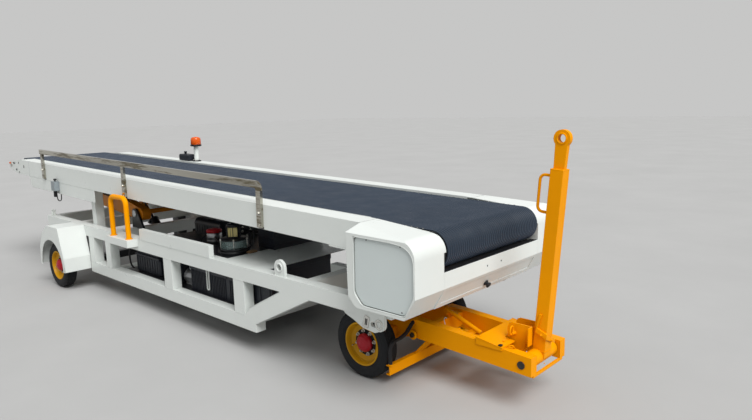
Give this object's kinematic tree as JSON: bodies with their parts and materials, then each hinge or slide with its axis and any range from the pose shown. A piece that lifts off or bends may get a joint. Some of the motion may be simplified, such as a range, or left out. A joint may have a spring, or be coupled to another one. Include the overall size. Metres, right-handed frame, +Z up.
{
  "type": "towable baggage belt loader",
  "caption": "Towable airport baggage belt loader: white truss chassis on rubber tyres, steered front bogie with folding tow bar, and a lifting ribbed belt conveyor boom.",
  "frame": {"origin": "centre of the bounding box in plan, on the ground under the tyres", "axes": "+X along the object towards the drawbar, +Y to its left, +Z up"},
  "size_m": [6.5565, 1.772, 1.5181],
  "materials": {
    "white_paint": "gloss",
    "yellow_paint": "gloss",
    "rim_paint": "gloss",
    "hub_paint": "gloss",
    "tyre_rubber": "matte",
    "belt_rubber": "matte",
    "black_steel": "satin",
    "bare_steel": "brushed",
    "stainless": "polished",
    "lamp_orange": "gloss",
    "grey_plastic": "satin",
    "black_rubber": "matte"
  },
  "bodies": {
    "chassis": {"side_frames": "white_paint", "cross_members": "white_paint", "front_subframe": "white_paint", "lifting_lugs": "white_paint", "fenders": "white_paint", "front_boxes": "white_paint", "cross_plate": "white_paint", "grab_handles": "yellow_paint", "handle_shelves": "white_paint", "rear_axle": "black_steel", "boom_rests": "white_paint", "lift_brackets": "black_steel", "deck": "black_steel", "power_unit": "black_steel", "battery_boxes": "black_steel", "pump_set": "bare_steel", "filter_bowl": "bare_steel", "turntable_top": "black_steel", "front_brackets": "white_paint", "cylinder_feet": "white_paint"},
    "wheel_rl": {"tyre_rl": "tyre_rubber", "rim_rl": "rim_paint", "hub_rl": "hub_paint"},
    "wheel_rr": {"tyre_rr": "tyre_rubber", "rim_rr": "rim_paint", "hub_rr": "hub_paint"},
    "wheel_fl": {"tyre_fl": "tyre_rubber", "rim_fl": "rim_paint", "hub_fl": "hub_paint"},
    "wheel_fr": {"tyre_fr": "tyre_rubber", "rim_fr": "rim_paint", "hub_fr": "hub_paint"},
    "bogie": {"bogie_frame": "yellow_paint"},
    "drawbar": {"drawbar_frame": "yellow_paint", "brake_bar": "yellow_paint", "drawbar_strut": "yellow_paint", "tow_latch": "yellow_paint", "brake_hose": "black_rubber"},
    "towbar": {"tow_tube_bar": "yellow_paint", "tow_eye": "yellow_paint", "tow_handle": "yellow_paint"},
    "boom": {"boom_beams": "white_paint", "boom_skirts": "white_paint", "boom_bed": "white_paint", "belt": "belt_rubber", "drums": "bare_steel", "boom_nose": "white_paint", "nose_bumpers": "black_rubber", "guard_rail": "stainless", "beacon_post": "white_paint", "beacon_lamp": "lamp_orange", "switch_boxes": "grey_plastic"},
    "lift_arm": {"lift_frame": "yellow_paint"},
    "lift_barrel_body": {"lift_barrel": "black_steel"},
    "lift_rod_body": {"lift_rod": "bare_steel"}
  },
  "joints": [
    {"name": "wheel_rl_spin", "type": "hinge", "parent": "chassis", "child": "wheel_rl", "pos_m": [-1.508, 0.79, 0.216], "axis": [0, 1, 0], "continuous": true},
    {"name": "wheel_rr_spin", "type": "hinge", "parent": "chassis", "child": "wheel_rr", "pos_m": [-1.508, -0.79, 0.216], "axis": [0, 1, 0], "continuous": true},
    {"name": "steer", "type": "hinge", "parent": "chassis", "child": "bogie", "pos_m": [2.152, 0, 0.216], "axis": [0, 0, 1], "range_deg": [-40, 40]},
    {"name": "wheel_fl_spin", "type": "hinge", "parent": "bogie", "child": "wheel_fl", "pos_m": [2.152, 0.374, 0.216], "axis": [0, 1, 0], "continuous": true},
    {"name": "wheel_fr_spin", "type": "hinge", "parent": "bogie", "child": "wheel_fr", "pos_m": [2.152, -0.374, 0.216], "axis": [0, 1, 0], "continuous": true},
    {"name": "drawbar_lift", "type": "hinge", "parent": "bogie", "child": "drawbar", "pos_m": [2.388, 0, 0.27], "axis": [0, -1, 0], "range_deg": [0, 12]},
    {"name": "tow_bar_fold", "type": "hinge", "parent": "drawbar", "child": "towbar", "pos_m": [3.123, 0, 0.272], "axis": [0, 1, 0], "range_deg": [0, 82]},
    {"name": "boom_lift", "type": "hinge", "parent": "chassis", "child": "boom", "pos_m": [2.742, 0, 0.905], "axis": [0, 1, 0], "range_deg": [0, 12]},
    {"name": "lift_arm_swing", "type": "hinge", "parent": "chassis", "child": "lift_arm", "pos_m": [-0.748, 0, 0.735], "axis": [0, 1, 0], "range_deg": [0, 41]},
    {"name": "cylinder_swing", "type": "hinge", "parent": "chassis", "child": "lift_barrel_body", "pos_m": [-0.848, 0, 0.29], "axis": [0, 1, 0], "range_deg": [0, 25.88]},
    {"name": "cylinder_stroke", "type": "slide", "parent": "lift_barrel_body", "child": "lift_rod_body", "axis": [-0.7418, 0, 0.6706], "range_m": [0, 0.2436]}
  ],
  "couplings": [
    {"joint": "lift_arm_swing", "follows": "boom_lift", "ratio": 3.4},
    {"joint": "cylinder_swing", "follows": "boom_lift", "ratio": 2.14},
    {"joint": "cylinder_stroke", "follows": "boom_lift", "m_per_rad": 1.1488}
  ]
}
